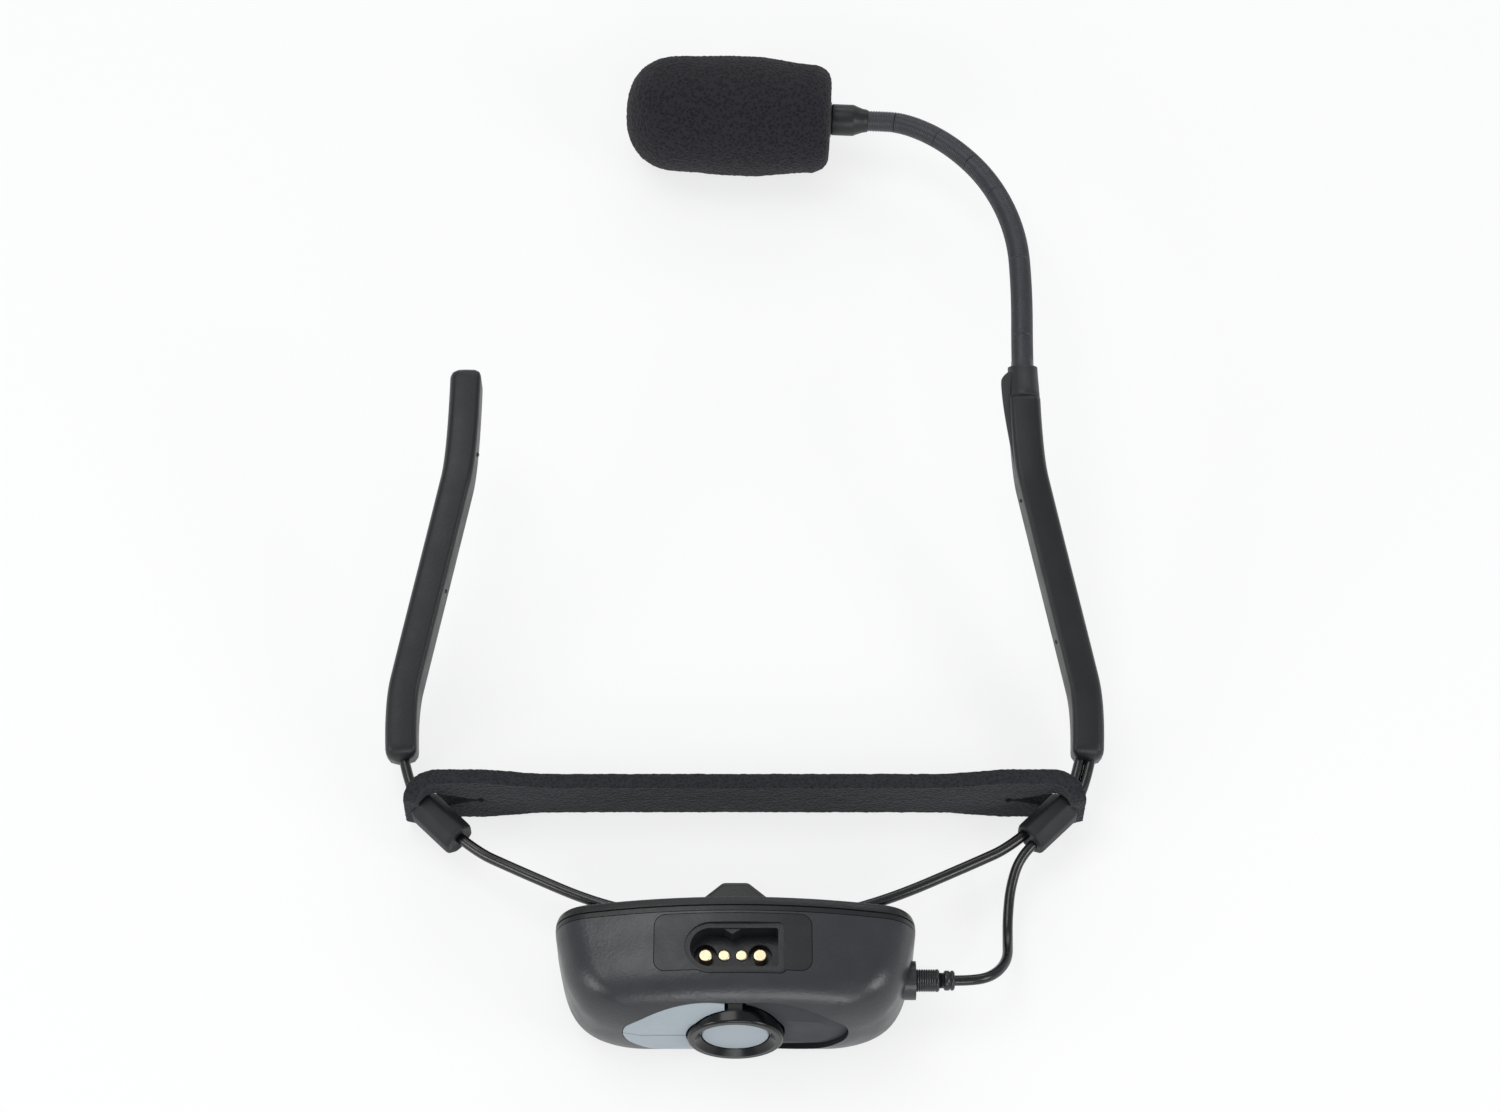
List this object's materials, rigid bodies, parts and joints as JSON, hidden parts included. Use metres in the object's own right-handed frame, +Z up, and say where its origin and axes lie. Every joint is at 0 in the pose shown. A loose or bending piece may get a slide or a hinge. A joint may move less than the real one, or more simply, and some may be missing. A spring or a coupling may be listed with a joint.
{
  "type": "headset microphone",
  "caption": "Behind-the-neck headset microphone: transmitter on a wire band, foam strap, rubber ear arms and a flexible boom with a foam windscreen.",
  "frame": {"origin": "middle of the transmitter's flat bottom, on the surface the headset stands on", "axes": "+Y forward from the transmitter to the microphone, +X to the wearer's right, +Z up"},
  "size_m": [0.1354, 0.221, 0.0306],
  "materials": {
    "shell_plastic": "fine-textured charcoal moulding",
    "cover_plastic": "satin black moulding",
    "seal_rubber": "matt",
    "gold_plate": "bright gold plating",
    "ring_gloss": "gloss black",
    "window_plastic": "matt dark grey",
    "board_laminate": "green solder mask",
    "switch_plastic": "black",
    "light_plastic": "clear",
    "cell_wrap": "silver pouch",
    "steel_plate": "plated",
    "boss_plastic": "satin black moulding",
    "clip_gloss": "semi-gloss black",
    "wire_jacket": "satin black jacket",
    "lead_jacket": "satin black jacket",
    "strap_foam": "dense foam with a fine skin",
    "bead_rubber": "matt soft rubber",
    "key_grey": "light grey satin",
    "arm_rubber": "satin soft rubber",
    "boom_jacket": "ribbed satin sleeve",
    "boot_rubber": "satin",
    "windscreen_foam": "open-cell foam"
  },
  "bodies": {
    "transmitter_and_band": {"main_shell": "shell_plastic", "back_cover": "cover_plastic", "cover_seal": "seal_rubber", "contact_insert": "shell_plastic", "charging_contacts": "gold_plate", "button_ring": "ring_gloss", "sensor_window": "window_plastic", "key_membrane": "seal_rubber", "circuit_board": "board_laminate", "power_switch": "switch_plastic", "wing_switches": "switch_plastic", "status_light": "light_plastic", "battery_cell": "cell_wrap", "shield_can": "steel_plate", "antenna_strip": "gold_plate", "jack_socket": "boss_plastic", "cover_screws": "steel_plate", "wire_clip": "clip_gloss", "clip_screws": "steel_plate", "band_wire": "wire_jacket", "neck_strap": "strap_foam", "left_bead": "bead_rubber", "right_bead": "bead_rubber", "plug_body": "boss_plastic", "plug_relief": "boss_plastic", "plug_pin": "gold_plate", "mic_lead": "lead_jacket"},
    "power_key": {"power_button": "key_grey"},
    "upper_key": {"wing_button_upper": "key_grey"},
    "lower_key": {"wing_button_lower": "key_grey"},
    "left_ear_arm": {"left_arm": "arm_rubber", "left_arm_wire": "wire_jacket"},
    "right_ear_arm": {"right_arm": "arm_rubber", "right_arm_wire": "wire_jacket", "right_mic_cable": "lead_jacket", "boom_socket": "arm_rubber", "boom_ferrule": "steel_plate"},
    "boom_1": {"boom_link_1": "boom_jacket"},
    "boom_2": {"boom_link_2": "boom_jacket"},
    "boom_3": {"boom_link_3": "boom_jacket"},
    "boom_4": {"boom_link_4": "boom_jacket"},
    "boom_5": {"boom_link_5": "boom_jacket"},
    "boom_6": {"boom_link_6": "boom_jacket"},
    "boom_7": {"boom_link_7": "boom_jacket"},
    "boom_8": {"boom_link_8": "boom_jacket"},
    "mic_head": {"mic_boot": "boot_rubber", "capsule_housing": "ring_gloss", "mic_capsule": "steel_plate", "capsule_seal": "seal_rubber", "capsule_grille": "steel_plate"},
    "foam_cover": {"windscreen": "windscreen_foam"}
  },
  "joints": [
    {"name": "power_press", "type": "slide", "parent": "transmitter_and_band", "child": "power_key", "axis": [0, 1, 0], "range_m": [0, 0.0005], "stiffness_N_per_m": 3000},
    {"name": "upper_key_press", "type": "slide", "parent": "transmitter_and_band", "child": "upper_key", "axis": [0, 1, 0], "range_m": [0, 0.00035], "stiffness_N_per_m": 3000},
    {"name": "lower_key_press", "type": "slide", "parent": "transmitter_and_band", "child": "lower_key", "axis": [0, 1, 0], "range_m": [0, 0.00035], "stiffness_N_per_m": 3000},
    {"name": "left_arm_spread", "type": "hinge", "parent": "transmitter_and_band", "child": "left_ear_arm", "pos_m": [-0.05853, 0.03813, 0.007], "axis": [0, 0, 1], "range_deg": [-4, 10], "stiffness_Nm_per_rad": 1.5},
    {"name": "right_arm_spread", "type": "hinge", "parent": "transmitter_and_band", "child": "right_ear_arm", "pos_m": [0.06173, 0.03813, 0.007], "axis": [0, 0, -1], "range_deg": [-4, 10], "stiffness_Nm_per_rad": 1.5},
    {"name": "boom_swing_1", "type": "hinge", "parent": "right_ear_arm", "child": "boom_1", "pos_m": [0.0556, 0.1251, 0.02665], "axis": [0, 0, 1], "range_deg": [-6, 6]},
    {"name": "boom_lift_1", "type": "hinge", "parent": "boom_1", "child": "boom_2", "pos_m": [0.05613, 0.13557, 0.02522], "axis": [0.9992, -0.0403, 0], "range_deg": [-6, 6]},
    {"name": "boom_swing_2", "type": "hinge", "parent": "boom_2", "child": "boom_3", "pos_m": [0.05644, 0.14601, 0.02355], "axis": [0, 0, 1], "range_deg": [-6, 6]},
    {"name": "boom_lift_2", "type": "hinge", "parent": "boom_3", "child": "boom_4", "pos_m": [0.05629, 0.15639, 0.02152], "axis": [0.9955, 0.0946, 0], "range_deg": [-6, 6]},
    {"name": "boom_swing_3", "type": "hinge", "parent": "boom_4", "child": "boom_5", "pos_m": [0.05449, 0.16659, 0.01944], "axis": [0, 0, 1], "range_deg": [-6, 6]},
    {"name": "boom_lift_3", "type": "hinge", "parent": "boom_5", "child": "boom_6", "pos_m": [0.05096, 0.17633, 0.01739], "axis": [0.8969, 0.4422, 0], "range_deg": [-6, 6]},
    {"name": "boom_swing_4", "type": "hinge", "parent": "boom_6", "child": "boom_7", "pos_m": [0.04537, 0.18507, 0.0154], "axis": [0, 0, 1], "range_deg": [-6, 6]},
    {"name": "boom_lift_4", "type": "hinge", "parent": "boom_7", "child": "boom_8", "pos_m": [0.03772, 0.19211, 0.01364], "axis": [0.4918, 0.8707, 0], "range_deg": [-6, 6]},
    {"name": "boom_swing_5", "type": "hinge", "parent": "boom_8", "child": "mic_head", "pos_m": [0.02779, 0.195, 0.0126], "axis": [0, 0, 1], "range_deg": [-6, 6]},
    {"name": "windscreen_pull", "type": "slide", "parent": "mic_head", "child": "foam_cover", "axis": [-0.9988, 0.0489, 0], "range_m": [0, 0.024]}
  ],
  "couplings": [
    {"joint": "boom_swing_2", "follows": "boom_swing_1", "ratio": 1},
    {"joint": "boom_lift_2", "follows": "boom_lift_1", "ratio": 1},
    {"joint": "boom_swing_3", "follows": "boom_swing_1", "ratio": 1},
    {"joint": "boom_lift_3", "follows": "boom_lift_1", "ratio": 1},
    {"joint": "boom_swing_4", "follows": "boom_swing_1", "ratio": 1},
    {"joint": "boom_lift_4", "follows": "boom_lift_1", "ratio": 1},
    {"joint": "boom_swing_5", "follows": "boom_swing_1", "ratio": 1}
  ]
}
